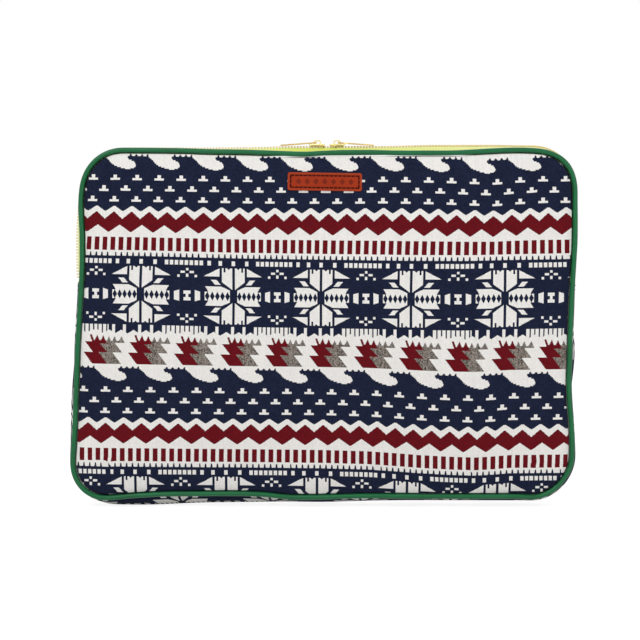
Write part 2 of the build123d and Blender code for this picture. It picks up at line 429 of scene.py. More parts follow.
# Waves: a white sky over navy water, with a curling lip and small crests
wave_u = (cell_u + 18.3) % HALF_U
down = (weave.sum("SNAP", fine_v, 1.2) + 0.6) / 20
lip_front = down.curve((0, 0.1), (0.22, 0.1), (0.28, 0.125), (0.33, 0.19), (0.39, 0.236),
                       (0.47, 0.27), (0.6, 0.293), (0.67, 0.26), (0.73, 0.2), (0.78, 0.1),
                       (1, 0.1))
lip_back = down.curve((0, 0.46), (0.14, 0.467), (0.24, 0.52), (0.35, 0.58), (0.52, 0.65),
                      (0.61, 0.74), (0.68, 0.83), (0.74, 0.92), (0.78, 1), (1, 1))
tongue = (wave_u > lip_back * HALF_U) | (wave_u < lip_front * HALF_U - 4.5)
white = (fine_v < 15.4) & tongue
white = white | (cell_v < weave.sum("MINIMUM", wave_u.off(2.8, 5.8) * 1.3 + 0.2, 2.4))
# Little hats in three staggered rows
row = weave.sum("FLOOR", (fine_v - 21) / 10.6)
rise = (fine_v - 21) % 10.6
side = (fine_u - row * 11.25).off(-8.3, 22.5)
hat = (side < (rise > 3.2) * 3 + 1.8) & (rise < 5.3)
white = white | (hat & fine_v.within(21, 50))
# Zigzags: white, red, then white again
peak = weave.sum("MAXIMUM", cell_u.off(6, 18), 0.8)
white_from = peak * 0.66 + 51.3
red_from = peak * 0.84 + 57
red_to = weave.sum("MINIMUM", cell_u.off(-0.7, 22.5) * 0.68 + 70.3, 77.3)
white = white | ((cell_v > white_from) & (fine_v < 100.9))
red = (cell_v > red_from) & (cell_v < red_to)
# Red bars, and a fringe of navy ticks under them
red = red | (fine_v.within(82.4, 95.4) & ((fine_u - 1) % (REPEAT_U / 11) < 4.8))
run = (fine_u + 26.6) % REPEAT_U
tick = (run.off(0.5, 5.85) < (fine_v - 97) * 0.16 + 0.5) & (fine_v > 97.2) & (run < 84)
white = white & ~tick
# A row of dashes over the stars
run = (fine_u - 23) % REPEAT_U
dash = (run % 4.83 < 3.4) & (run < 37.6)
for middle in (-23.8, -13, -0.2, 13.5):
    dash = dash | (fine_u.off(middle) < 1.7)
white = white | (dash & fine_v.within(103.9, 108.5))
# Stars: eight petals round a navy middle, drawn by how far a cell is from it
far_u = abs(fine_u)
far_v = abs(fine_v - STAR_MIDDLE)
step_u = abs(cell_u)
step_v = abs(cell_v - STAR_MIDDLE)
petal = far_u.within(1.3, 11.4) & (far_v < 27.9) & (step_v - step_u * 0.743 > 5.6)
petal = petal & ~((far_u.off(8.8) < 0.9) & (far_v > 23.8))
petal = petal & ~(step_u.off(4.8) < step_v - 26.2)
star = petal | ((far_u > 13.7) & (far_v > 19.5) & (step_u * 0.53 + step_v < 34.9))
star = star | (far_v.within(11.4, 16.2) & (step_u - step_v * 0.863).within(2.7, 8.1))
tips = weave.sum("MAXIMUM", (far_v < 4.3) * 28, step_v * 0.57 + 22)
side_petal = (far_u > 3.7) & (far_v < 9.6) & (step_v - step_u * 0.463 < 4.2) & (step_u < tips)
diamonds = (far_u.off(5.9, 4.9) / 2.3 + far_v / 4.5 < 1) & (far_u > 3.6)
star = star | (side_petal & ~diamonds)
# Between the stars: a small beam with blocks, and sparks above and below
beam_u = HALF_U - far_u
link = (beam_u < 3.4) & (far_v < 4.9) & ((far_v > 1.7) | (beam_u < 1.3))
link = link | (beam_u.within(7.5, 12.6) & (step_v < 5.6 - (beam_u - 7.5) * 0.3))
spark = (beam_u < 1.2) & (far_v.off(26) < 1.2)
spark = spark | ((beam_u.off(4.4) < 2.1) & (far_v.off(23.3) < 1.1))
spark = spark | ((beam_u < 1.2) & (far_v.off(20) < 1.6))
spark = spark | ((beam_u.off(8.4) < 1.2) & (far_v.off(19.4) < 1.2))
white = white | star | link | spark
# Lines and spikes under the stars, then the white band
run = (fine_u - 21.2) % REPEAT_U
line = (run % 4.5 < 3.2) & (run < 37.2)
for middle in (-26.6, -15.8, -0.6, 11):
    line = line | (fine_u.off(middle) < 1.5)
white = white | (line & fine_v.within(169, 178))
white = white | (cell_v > cell_u.off(-6.6, 12.2) * 0.62 + 174.3)
# Leaves: two slanting tiers, half red and half grey, with spiked tops
leaf_u = (cell_u + 14.4) % HALF_U - 4
leaf_v = cell_v - 187
slant = leaf_u - leaf_v * 0.77
upper = leaf_v.within(-0.5, 10.2)
lower = leaf_v.within(10.2, 21.5)
edge = slant + lower * 9.5
red_left = (upper & (slant < (leaf_v < 1.7) * 9.5 + leaf_v * 0.25 + 13)) | (lower & (edge < 15.7))
inside = (upper | lower) & (edge > 0.3) & (edge < 29.8)
tip = (leaf_v > -7.6) & (leaf_v < 0.3)
red_spike = (leaf_u.off(12.2) < (leaf_v + 7.4) * 0.45) | (leaf_u.off(18.4) < (leaf_v + 7) * 0.45)
red_spike = red_spike | ((leaf_u - leaf_v * 0.36).off(8.4) < 1.11)
red_spike = red_spike | (leaf_u.within(8, 21.5) & (leaf_v > -2.2))
grey_spike = (leaf_u.off(24.2) < (leaf_v + 6) * 0.45) | (leaf_u.off(30) < (leaf_v + 6.3) * 0.45)
grey_spike = grey_spike | (leaf_u.off(36.7) < (leaf_v + 6.2) * 0.52)
grey_spike = grey_spike | (leaf_u.within(21.5, 39.5) & (leaf_v > -1.6))
grey = (inside & ~red_left) | (tip & grey_spike)
red = red | (inside & red_left) | (tip & red_spike)

# Yarn: each cell differs a little, and the ground colours show through between the floats
cell = weave.node("CombineXYZ", {0: weave.sum("FLOOR", thread_u),
                                 1: weave.sum("FLOOR", thread_v)}).outputs[0]
fleck = Sum(weave, weave.node("TexWhiteNoise", {"Vector": cell},
                              noise_dimensions="2D").outputs[0])
column = weave.node("TexWhiteNoise", {"W": weave.sum("FLOOR", thread_u)}, noise_dimensions="1D")
streak = Sum(weave, column.outputs[0])
patch = weave.noise(cell, 0.09, 3.0)
navy_yarn = weave.mix(fleck * 0.5 + patch * 0.5, linear(19, 24, 43), linear(38, 45, 71))
white_yarn = weave.mix(fleck * 0.6 + streak * 0.25, linear(252, 249, 245), linear(234, 231, 227))
red_yarn = weave.mix(fleck * 0.5 + patch * 0.4, linear(120, 23, 31), linear(86, 14, 24))
grey_yarn = weave.mix(fleck * 0.9 + streak * 0.3 - 0.1, linear(66, 60, 55), linear(166, 156, 147))
surface = weave.mix(white, navy_yarn, white_yarn)
surface = weave.mix(red, surface, red_yarn)
surface = weave.mix(grey, surface, grey_yarn)
weave.colour(surface)
across_rib = abs(thread_u % 1.0 - 0.5)
along_rib = abs((thread_v + weave.sum("FLOOR", thread_u) * 0.5) % 1.0 - 0.5)
weave.bump((across_rib + along_rib) * -1.0 + fleck * 0.35, 0.5, 0.35)

# How far the cloth stands out from the middle, by distance in from the outline
DOME = ((SEAM_INSET, SEAM_Y), (7, 13.7), (9, 14.7), (13, 15.4), (20, 15.8), (30, 16.2), (60, 16.8),
        (122, 17.2))
plan, plan_depth, plan_faces, plan_rim = panel_grid((SEAM_INSET, 6.6, 8, 10.5, 14, 19, 24.5))
PUCKER, SWELL = 0.35, 0.35


def panel_skin(name, side, seed):
    """The outer cloth of a panel: side -1 for the front and 1 for the back.

    It puckers finely beside the seam, and swells and dips slowly over the whole face."""
    rise_at, rise = zip(*DOME)
    reach = np.interp(plan_depth, rise_at, rise)
    x, z = plan.T
    around = np.arctan2(z - HEIGHT / 2, x) * 150
    near_seam = np.exp(-((plan_depth - 9) / 6) ** 2)
    ripple = np.sin(around / 2.3 + seed) + 0.7 * np.sin(around / 1.37 + 2 * seed)
    reach = reach + near_seam * ripple * PUCKER * SWELL
    reach = reach + smoothstep((plan_depth - 6) / 20) * SWELL * (
        np.sin(x / 31 + seed) * np.cos(z / 23 - seed) + 0.6 * np.sin((x - z) / 17 + 3 * seed))
    points = settled(np.column_stack([x, side * np.maximum(reach, SEAM_Y), z]))
    faces = plan_faces if side < 0 else [face[::-1] for face in plan_faces]
    skin = make_piece(name, points, faces)
    drape(skin, plan_rim, cap=1.6, pressure=1.2, surplus=0.006)
    return skin


def weave_drop(x, z):
    """How far the woven rows hang down along the sleeve, in millimetres.

    Three rows of the pattern are given from left to right: near the top, over the middle and
    near the bottom."""
    top = np.interp(x, (-168, -45, 10, 40, 80, 104, 117, 130, 150, 170),
                    (0, 1.8, 2.0, 1.7, 2.4, 3.3, 3.7, 2.4, 1.4, 1.3))
    middle = np.interp(x, (-168, -127, -65, 0, 59, 95, 124, 170),
                       (0, 0.6, 2.3, 3.3, 4.1, 4.2, 3.5, 3.0))
    bottom = np.interp(x, (-168, -4, 30, 52, 66, 85, 104, 117, 128, 150, 170),
                       (0, 1.5, 2.4, 4.0, 5.2, 6.2, 6.8, 6.0, 5.0, 4.9, 5.0))
    high, low = smoothstep((z - 160) / 50), smoothstep((145 - z) / 95)
    return high * top + low * bottom + (1 - high - low) * middle


def weave_across(x, z):
    """Cells across from the middle star: the cloth is stretched unevenly over the foam.

    Near the upper left corner the seam has pulled it over by almost two cells more."""
    cells = [repeat * REPEAT_U for repeat in range(-3, 4)]
    top = np.interp(x, (-183.5, -122.8, -62.7, -1.4, 61.4, 124.1, 187), cells)
    star = np.interp(x, (-189, -126.8, -62.6, -2.7, 59.2, 123.9, 188), cells)
    bottom = np.interp(x, (-191, -129, -66.2, -3.3, 59, 121.5, 183), cells)
    high, low = smoothstep((z - 145) / 70), smoothstep((145 - z) / 130)
    pulled = 1.8 * smoothstep((-60 - x) / 60) * np.exp(-((z - 197) / 22) ** 2)
    return high * top + low * bottom + (1 - high - low) * star + pulled


front_cloth = panel_skin("front_panel_cloth", -1, 0.7)
front_skin = positions(front_cloth)
x, _, z = front_skin.T
WAVE_BAND_TOP, FIRST_ROW = 241.4, 0.3
rows_down = np.maximum((WAVE_BAND_TOP - z - weave_drop(x, z)) / CELL, FIRST_ROW)
lay_weave(front_cloth, weave_across(x, z), rows_down)
soften(front_cloth, CLOTH)


def dress(piece, finish):
    """Gives a piece its finish."""
    piece.data.materials.append(finish.material)


def fold_with_flap(piece, *nodes):
    """The piece stands for the front's nodes, which are hidden; its place is baked into its points.
    """
    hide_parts(*nodes)
    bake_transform(piece)


def sewn_to(body, piece, *nodes):
    """The piece stands for these nodes, and moves with one body."""
    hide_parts(*nodes)
    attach(piece, body)


dress(front_cloth, weave)
fold_with_flap(front_cloth, "front_cloth_lower", "front_cloth_flap")

# ---------------------------------------------------------------------------------------------
# Foam pads of the panels: sheets of pale closed-cell foam, cut to the panel's outline and caught
# in its edge seam. The cloth lies tight over them, so a pad has the panel's crowned outer face
# and a flat inner one.
foam = Finish("closed_cell_foam", 0.85)
pores = foam.node("TexVoronoi", {"Vector": foam.place(), "Scale": 900.0})
foam.colour(foam.mix(pores.outputs[0], linear(246, 246, 243), linear(222, 222, 217)))
foam.bump(pores.outputs[0], 0.3, 0.3)
CAVITY_HALF, LINING = 9.4, 0.8
PAD_GAP, PAD_WIDTH_SHARE, PAD_HEIGHT_SHARE = 0.1, 0.998, 0.997


def panel_pad(name, side, skin):
    """A closed pad under a panel's cloth: its outer face follows the cloth's inner face."""
    outer = skin + (0, -side * (CLOTH + PAD_GAP), 0)
    inner = skin.copy()
    inner[:, 1] = side * (CAVITY_HALF + LINING)
    for face in (outer, inner):
        face[:, 0] *= PAD_WIDTH_SHARE
        face[:, 2] = HEIGHT / 2 + (face[:, 2] - HEIGHT / 2) * PAD_HEIGHT_SHARE
    count = len(skin)
    front = plan_faces if side < 0 else [face[::-1] for face in plan_faces]
    faces = front + [tuple(count + k for k in face[::-1]) for face in front]
    for k, this in enumerate(plan_rim):
        that = plan_rim[(k + 1) % len(plan_rim)]
        wall = (this, count + this, count + that, that)
        faces.append(wall if side < 0 else wall[::-1])
    pad = make_piece(name, np.vstack([outer, inner]), faces)
    dress(pad, foam)
    return pad


front_foam = panel_pad("front_panel_foam", -1, front_skin)
fold_with_flap(front_foam, "front_foam_lower", "front_foam_flap")

# ---------------------------------------------------------------------------------------------
# Linings of the panels: a smooth dark polyester cloth against the laptop, sewn into the same
# seam. It lies flat on the foam, with slack that ripples a little beside the seam.
lining = Finish("smooth_lining", 0.55, Sheen_Weight=0.25, Sheen_Roughness=0.4)
lining.twilled(900.0, (58, 62, 84), (46, 49, 68), 0.25, 0.1, distortion=0.6)


def panel_lining(name, side, skin):
    """The flat cloth on a panel's inner face."""
    points = skin.copy()
    x, z = plan.T
    near_seam = np.exp(-((plan_depth - 14) / 8) ** 2)
    slack = near_seam * 0.12 * np.sin(x / 5 + z / 7) + 0.06 * np.sin(x / 19) * np.cos(z / 13)
    points[:, 1] = side * (CAVITY_HALF + LINING * 0.9 + slack * 0.5)
    faces = plan_faces if side > 0 else [face[::-1] for face in plan_faces]
    sheet = make_piece(name, points, faces)
    soften(sheet, 0.5, side=1)
    dress(sheet, lining)
    return sheet


front_lining = panel_lining("front_panel_lining", -1, front_skin)
fold_with_flap(front_lining, "front_lining_lower", "front_lining_flap")

# ---------------------------------------------------------------------------------------------
# Front piping: a bias strip of smooth green coated cloth, folded round a cotton cord and sewn
# into the edge seam. It runs all the way round the panel, and its ends overlap at the bottom.
PIPING_INSET = 3.2
ZIP_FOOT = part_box("zip_tape_back")[0].z / MM
FAN_STEPS = 10


def outline_stations(part="ring", spacing=4.0):
    """Places round the outline: a core point and the outward direction there, as (x, z, nx, nz).

    The ring is the whole outline, from the bottom middle up the right side. The zip part is the
    open run over the top between the zip's feet, and the gusset part the one underneath."""
    stops, facing = {
        "ring": ([(0, CORE_LOW), (CORE_X, CORE_LOW), (CORE_X, CORE_HIGH), (-CORE_X, CORE_HIGH),
                  (-CORE_X, CORE_LOW), (0, CORE_LOW)], -90),
        "zip": ([(CORE_X, ZIP_FOOT), (CORE_X, CORE_HIGH), (-CORE_X, CORE_HIGH),
                 (-CORE_X, ZIP_FOOT)], 0),
        "gusset": ([(-CORE_X, ZIP_FOOT), (-CORE_X, CORE_LOW), (CORE_X, CORE_LOW),
                    (CORE_X, ZIP_FOOT)], -180),
    }[part]
    run = []
    for leg, ((x0, z0), (x1, z1)) in enumerate(zip(stops, stops[1:])):
        turn = math.radians(facing)
        steps = max(1, round(math.hypot(x1 - x0, z1 - z0) / spacing))
        for k in range(steps):
            t = k / steps
            run.append((x0 + (x1 - x0) * t, z0 + (z1 - z0) * t, math.cos(turn), math.sin(turn)))
        if leg < len(stops) - 2:
            for k in range(FAN_STEPS):
                turn = math.radians(facing + 90 * k / FAN_STEPS)
                run.append((x1, z1, math.cos(turn), math.sin(turn)))
            facing += 90
    if part != "ring":
        run.append((x1, z1, math.cos(turn), math.sin(turn)))
    return np.array(run)


def arc_lengths(points):
    """Distance along a line at each of its points."""
    steps = np.linalg.norm(np.diff(np.array(points), axis=0), axis=1)
    return np.concatenate([[0], np.cumsum(steps)])


def run_lengths(stations, inset=PIPING_INSET):
    """Distance along a run at each of its stations."""
    return arc_lengths(stations[:, :2] + (CORNER - inset) * stations[:, 2:])


def swept(name, profile, stations, closed_run=True, closed_profile=True, shape=None):
    """Carries a profile of (inset, y) points along a run of the outline.

    shape(profile, k) may change the profile at station k. Ends of an open run of a closed
    profile are capped."""
    profile = np.array(profile, float)
    across, along = len(profile), len(stations)
    points = []
    for k, (x, z, nx, nz) in enumerate(stations):
        here = profile if shape is None else shape(profile, k)
        reach = CORNER - here[:, 0]
        points.append(np.column_stack([x + reach * nx, here[:, 1], z + reach * nz]))
    faces = []
    for k in range(along if closed_run else along - 1):
        n = (k + 1) % along
        for i in range(across if closed_profile else across - 1):
            j = (i + 1) % across
            faces.append((k * across + i, n * across + i, n * across + j, k * across + j))
    if closed_profile and not closed_run:
        faces.append(tuple(range(across - 1, -1, -1)))
        faces.append(tuple((along - 1) * across + i for i in range(across)))
    return make_piece(name, settled(np.vstack(points)), faces, closed=closed_profile)


def lay_run(piece, lengths, widths):
    """Gives a swept piece its own coordinates: distance along and across."""
    lay_weave(piece, np.repeat(lengths, len(widths)), np.tile(widths, len(lengths)))


ring = outline_stations()
ring_length = run_lengths(ring)
PIPING_RADIUS, CORD_RADIUS = 1.8, 1.25

piping = Finish("coated_piping", 0.36, Specular_IOR_Level=0.3)
piping_place = piping.place()
cloudy = piping.noise(piping_place, 55.0, 3.0)
grain = piping.noise(piping_place, 1500.0, 2.0)
piping.colour(piping.mix(cloudy, linear(4, 84, 44), linear(16, 112, 64)))
piping.bump(grain * 0.6 + piping.noise(piping_place, 260.0, 2.0), 0.35, 0.25)


def round_profile(side, radius, count=14):
    """A circle round the piping's line, as (inset, y) points."""
    turns = np.arange(count) * 2 * math.pi / count
    return np.column_stack([PIPING_INSET + radius * np.cos(turns),
                            side * PIPING_Y + radius * np.sin(turns)])


OVERLAP, COUNT_FROM = 7, 700


def uneven(side, seed, amount):
    """The cover is drawn a little tighter at some stitches than at others, and its two ends
    overlap just before the bottom middle."""
    middle = np.array([PIPING_INSET, side * PIPING_Y])

    def shape(profile, k):
        at = ring_length[k]
        swell = 1 + amount * (math.sin(at / 3.1 + seed) + 0.8 * math.sin(at / 7.7 + 2 * seed))
        from_overlap = (at + COUNT_FROM) % ring_length[-1] - (COUNT_FROM - OVERLAP)
        overlap = 0.1 * math.exp(-(from_overlap / 5) ** 2)
        return middle + (profile - middle) * (swell + overlap)

    return shape


def piping_pair(prefix, side, seed):
    """The cover of a panel's piping and the cord inside it."""
    cover = swept(prefix + "_piping_cover", round_profile(side, PIPING_RADIUS), ring,
                  shape=uneven(side, seed, 0.012))
    soften(cover)
    dress(cover, piping)
    cord = swept(prefix + "_piping_core", round_profile(side, CORD_RADIUS, 10), ring)
    dress(cord, cotton)
    return cover, cord


cotton = Finish("twisted_cotton", 0.9)
cotton.twilled(300.0, (240, 238, 230), (214, 210, 198), 0.6, 0.3, distortion=1.0)

front_piping, front_piping_cord = piping_pair("front", -1, 0.4)
fold_with_flap(front_piping, "front_piping_lower", "front_piping_flap")
fold_with_flap(front_piping_cord, "front_piping_cord_lower", "front_piping_cord_flap")

# ---------------------------------------------------------------------------------------------
# Binding tapes: woven navy tape folded over the raw edges of each panel's seam inside the
# sleeve. Each is a flat padded band that follows the inner corner all the way round.
tape_weave = Finish("binding_tape", 0.8, Sheen_Weight=0.2)
tape_weave.twilled(420.0, (38, 42, 62), (52, 57, 80), 0.5, 0.25)
BINDING_INNER, BINDING_THICK, BINDING_WIDE = 5.7, 2.8, 3.4


def binding_band(name, side):
    """A rounded band in the inner corner of a panel."""
    low, high = BINDING_INNER, BINDING_INNER + BINDING_THICK
    near, far = side * (CAVITY_HALF - 0.1), side * (CAVITY_HALF - BINDING_WIDE)
    mid = (near + far) / 2
    profile = [(low, near), (low, mid), (low + 0.2, far), (low + 1.4, far - side * 0.15),
               (high - 0.2, far), (high, mid), (high - 0.2, near), (low + 1.4, near)]
    band = swept(name, profile, ring)
    soften(band)
    dress(band, tape_weave)
    return band


front_binding = binding_band("front_seam_binding", -1)
fold_with_flap(front_binding, "front_binding_lower", "front_binding_flap")

# ---------------------------------------------------------------------------------------------
# Back panel: the same cloth, foam, lining, piping and binding as the front, in one height. Its
# cloth is cut from another part of the roll, so the bands sit a little higher on it.
back_cloth = panel_skin("back_panel_cloth", 1, 2.1)
back_skin = positions(back_cloth)
x, _, z = back_skin.T
STAR_AT, BAND_TOP, BAND_SLOPE = 14, 239, 0.01
back_rows_down = np.maximum((BAND_TOP - z + BAND_SLOPE * x) / CELL, FIRST_ROW)
lay_weave(back_cloth, (STAR_AT - x) / CELL, back_rows_down)
soften(back_cloth, CLOTH)
dress(back_cloth, weave)
back_foam = panel_pad("back_panel_foam", 1, back_skin)
back_lining = panel_lining("back_panel_lining", 1, back_skin)
back_piping, back_piping_cord = piping_pair("back", 1, 1.9)
back_binding = binding_band("back_seam_binding", 1)
for piece, node in ((back_cloth, "back_cloth"), (back_foam, "back_foam"),
                    (back_lining, "back_lining"), (back_piping, "back_piping"),
                    (back_piping_cord, "back_piping_cord"), (back_binding, "back_binding")):
    sewn_to("sleeve_body", piece, node)

# ---------------------------------------------------------------------------------------------
# Gusset: a padded strip of the same cloth that joins the panels round the bottom and up both
# sides. It is cut along the pattern, so a row of stars runs along it, and it bellies out between
# the pipings except underneath, where the sleeve stands on it.
foot_run = outline_stations("gusset", 5.0)
foot_length = run_lengths(foot_run, 0)
BELLY = 0.4
gusset_profile = [(3.6, -10.9), (2.6, -10.1), (1.5, -9.5), (0.8, -8.8), (0.35, -7.4),
                  (0.1, -5), (0, -2.5), (0, 0), (0, 2.5), (0.1, 5), (0.35, 7.4), (0.8, 8.8),
                  (1.5, 9.5), (2.6, 10.1), (3.6, 10.9)]


def bellied(profile, k):
    """The gusset's profile at one station: round at the sides, flat underneath."""
    _, _, nx, nz = foot_run[k]
    here = profile.copy()
    share = smoothstep(1 + nz * 1.1)
    out = BELLY + 0.25 * math.sin(foot_length[k] / 13) + 0.15 * math.sin(foot_length[k] / 5.3)
    here[:, 0] -= share * out * np.clip(1 - (here[:, 1] / 9.9) ** 2, 0, 1)
    return here


gusset_cloth = swept("gusset_strip_cloth", gusset_profile, foot_run, closed_run=False,
                     closed_profile=False, shape=bellied)
underneath = foot_run[:, 3] == -1
star_at = np.interp(-97, foot_run[underneath, 0], foot_length[underneath])
STAR_ROW = 122.6
lay_run(gusset_cloth, (foot_length - star_at) / CELL, STAR_ROW + arc_lengths(gusset_profile) / CELL)
soften(gusset_cloth, CLOTH, side=1)
dress(gusset_cloth, weave)
sewn_to("sleeve_body", gusset_cloth, "gusset_cloth")

gusset_foam_profile = [(3.6, -9.2), (2.2, -8.6), (1.5, -7.2), (1.2, -5), (1.1, -2.5), (1.1, 0),
                       (1.1, 2.5), (1.2, 5), (1.5, 7.2), (2.2, 8.6), (3.6, 9.2), (4.75, 9.2),
                       (4.75, 4.6), (4.75, 0), (4.75, -4.6), (4.75, -9.2)]


def bellied_pad(profile, k):
    """The foam follows the cloth's belly, and is thinned where the zip tape enters."""
    here = profile.copy()
    outer = here[:, 0] < 4
    here[outer] = bellied(here[outer], k)
    to_end = min(foot_length[k], foot_length[-1] - foot_length[k])
    here[outer, 0] += 1.5 * (1 - smoothstep(to_end / 9))
    return here


gusset_foam = swept("gusset_strip_foam", gusset_foam_profile, foot_run, closed_run=False,
                    shape=bellied_pad)
dress(gusset_foam, foam)
sewn_to("sleeve_body", gusset_foam, "gusset_foam")

gusset_lining_profile = [(5.05, 9.3), (5.1, 4.6), (5.12, 0), (5.1, -4.6), (5.05, -9.3)]
gusset_lining = swept("gusset_strip_lining", gusset_lining_profile, foot_run, closed_run=False,
                      closed_profile=False)
soften(gusset_lining, 0.45)
dress(gusset_lining, lining)
sewn_to("sleeve_body", gusset_lining, "gusset_lining")

# ---------------------------------------------------------------------------------------------
# Stitches that close the gusset's two ends over the zip tape: two rows of thick navy thread
# across each end, sewn by machine. One tree of Geometry Nodes sets them, and everything else on
# the sleeve that repeats, along its own line.


def row_tree(name, pivot):
    """A tree that sets copies of one part along lines, turned to follow them."""
    tree = bpy.data.node_groups.new(name, "GeometryNodeTree")

    for label, kind in (("Line", "Geometry"), ("Part", "Object"), ("Spacing", "Float"),
                        ("Size spread", "Float"), ("Seed", "Int"), ("Finish", "Material")):
        tree.interface.new_socket(name=label, in_out="INPUT", socket_type="NodeSocket" + kind)
    tree.interface.new_socket(name="Row", in_out="OUTPUT", socket_type="NodeSocketGeometry")

    def node(kind, **settings):
        made = tree.nodes.new(kind)
        for key, value in settings.items():
            setattr(made, key, value)
        return made

    given, result = node("NodeGroupInput"), node("NodeGroupOutput")
    curve = node("GeometryNodeMeshToCurve")
    spaced = node("GeometryNodeResampleCurve", mode="LENGTH")
    tangent = node("GeometryNodeInputTangent")
    turned = node("FunctionNodeAlignRotationToVector", axis="X", pivot_axis=pivot)
    part = node("GeometryNodeObjectInfo")
    smaller = node("ShaderNodeMath", operation="SUBTRACT")
    smaller.inputs[0].default_value = 1
    larger = node("ShaderNodeMath", operation="ADD")
    larger.inputs[0].default_value = 1
    size = node("FunctionNodeRandomValue", data_type="FLOAT")
    placed = node("GeometryNodeInstanceOnPoints")
    real, painted = node("GeometryNodeRealizeInstances"), node("GeometryNodeSetMaterial")
    for start, end in ((given.outputs["Line"], curve.inputs[0]),
                       (curve.outputs[0], spaced.inputs[0]),
                       (given.outputs["Spacing"], spaced.inputs["Length"]),
                       (tangent.outputs[0], turned.inputs["Vector"]),
                       (given.outputs["Part"], part.inputs["Object"]),
                       (given.outputs["Size spread"], smaller.inputs[1]),
                       (given.outputs["Size spread"], larger.inputs[1]),
                       (smaller.outputs[0], size.inputs[2]),
                       (larger.outputs[0], size.inputs[3]),
                       (given.outputs["Seed"], size.inputs["Seed"]),
                       (spaced.outputs[0], placed.inputs["Points"]),
                       (part.outputs["Geometry"], placed.inputs["Instance"]),
                       (turned.outputs[0], placed.inputs["Rotation"]),
                       (size.outputs[1], placed.inputs["Scale"]),
                       (placed.outputs[0], real.inputs[0]),
                       (real.outputs[0], painted.inputs[0]),
                       (given.outputs["Finish"], painted.inputs["Material"]),
                       (painted.outputs[0], result.inputs[0])):
        tree.links.new(start, end)
    return tree


free_row = row_tree("parts_in_a_row", "AUTO")
upright_row = row_tree("upright_parts_in_a_row", "Y")


def row_of(name, lines, part, spacing, finish, tree=free_row, spread=0.0, seed=1):
    """Sets a part along lines of points in millimetres, as one plain mesh."""
    points, edges = [], []
    for line in lines:
        edges += [(len(points) + k, len(points) + k + 1) for k in range(len(line) - 1)]
        points += list(line)
    mesh = bpy.data.meshes.new(name + "_line")
    mesh.from_pydata((np.array(points) * MM).tolist(), edges, [])
    guide = bpy.data.objects.new(name + "_line", mesh)
    bpy.context.scene.collection.objects.link(guide)
    row = guide.modifiers.new("row", "NODES")
    row.node_group = tree
    given = {"Part": part, "Spacing": spacing * MM, "Size spread": spread, "Seed": seed,
             "Finish": finish.material}
    for item in tree.interface.items_tree:
        if item.name in given:
            row[item.identifier] = given[item.name]
    shape = guide.evaluated_get(bpy.context.evaluated_depsgraph_get())
    made = bpy.data.objects.new(name, bpy.data.meshes.new_from_object(shape))
    guide.modifiers.remove(row)
    bpy.data.objects.remove(guide)
    bpy.context.scene.collection.objects.link(made)
    return made


def section_part(name, sections, sides=6, smooth=True):
    """A small part as round or square sections along X: (x, y, z, half width, half height)."""
    points, faces = [], []
    for x, y, z, half_y, half_z in sections:
        for k in range(sides):
            turn = 2 * math.pi * (k + 0.5) / sides
            grow = 1 / math.cos(math.pi / sides) if sides == 4 else 1
            points.append((x, y + half_y * grow * math.cos(turn),
                           z + half_z * grow * math.sin(turn)))
    for n in range(len(sections) - 1):
        for k in range(sides):
            j = (k + 1) % sides
            faces.append((n * sides + k, n * sides + j, (n + 1) * sides + j,
                          (n + 1) * sides + k))
    faces.append(tuple(range(sides - 1, -1, -1)))
    faces.append(tuple(range(len(points) - sides, len(points))))
    part = make_piece(name, points, faces, closed=True)
    if not smooth:
        part.data.polygons.foreach_set("use_smooth", [False] * len(part.data.polygons))
    return part


def stitch_part(name, length, thick):
    """One stitch of thread: its ends dip into the cloth."""
    shares = ((-1, 0.25, 0.25), (-0.8, 0.45, 0.45), (0, 0.5, 0.55), (0.8, 0.45, 0.45),
              (1, 0.25, 0.25))
    return section_part(name, [(length / 2 * along, 0, 0, thick * wide, thick * high)
                               for along, wide, high in shares])


thread = Finish("navy_thread", 0.7, Sheen_Weight=0.3)
thread.twilled(1500.0, (24, 27, 46), (52, 56, 84), 0.5, 0.1)

end_lines = []
stitched_profile = np.array([(inset, y) for inset, y in gusset_profile if abs(y) < 9])
for end in (0, len(foot_run) - 1):
    core_x, _, nx, _ = foot_run[end]
    for height in (ZIP_FOOT - 2.0, ZIP_FOOT - 5.0):
        line = bellied(stitched_profile, end)
        reach = CORNER - line[:, 0] + 0.1
        end_lines.append(settled(np.column_stack([core_x + reach * nx, line[:, 1],
                                                  np.full(len(line), height)])))
stitch = stitch_part("stitch_part", 2.2, 0.6)
gusset_end_stitches = row_of("gusset_end_stitches", end_lines, stitch, 2.6, thread)
bpy.data.objects.remove(stitch)
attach(gusset_end_stitches, "sleeve_body")

# ---------------------------------------------------------------------------------------------
# Zip tapes: two strips of bright yellow woven polyester tape. Each is sewn in beside its piping,
# climbs to the crown of the sleeve's edge, and is gripped there by its row of teeth.
zip_run = outline_stations("zip", 3.0)
zip_length = run_lengths(zip_run, TAPE_INSET)
tape = Finish("zip_tape", 0.75, Sheen_Weight=0.15)
tape_u, tape_v = tape.threads()
herring = abs((tape_u * 1.1 + abs(tape_v % 3.0 - 1.5) * 1.3) % 1.0 - 0.5)
seam_row = (tape_v.off(2.6, 100) < 0.22) & (tape_u % 2.4 < 1.9)
# The yarn is drawn lime near the middle of the sleeve and paler towards both ends.
across = tape.node("SeparateXYZ", {0: tape.place()}).outputs[0]
paler_outwards = tape.sum("SMOOTH_MIN", abs(Sum(tape, across)) * 9.5, 1.0)
tape_yarn = tape.mix(paler_outwards, linear(226, 240, 96), linear(248, 251, 172))
tape.colour(tape.mix(seam_row | (herring * 0.6), tape_yarn, linear(218, 226, 110)))
tape.bump(herring * 0.6 + seam_row, 0.5, 0.15)


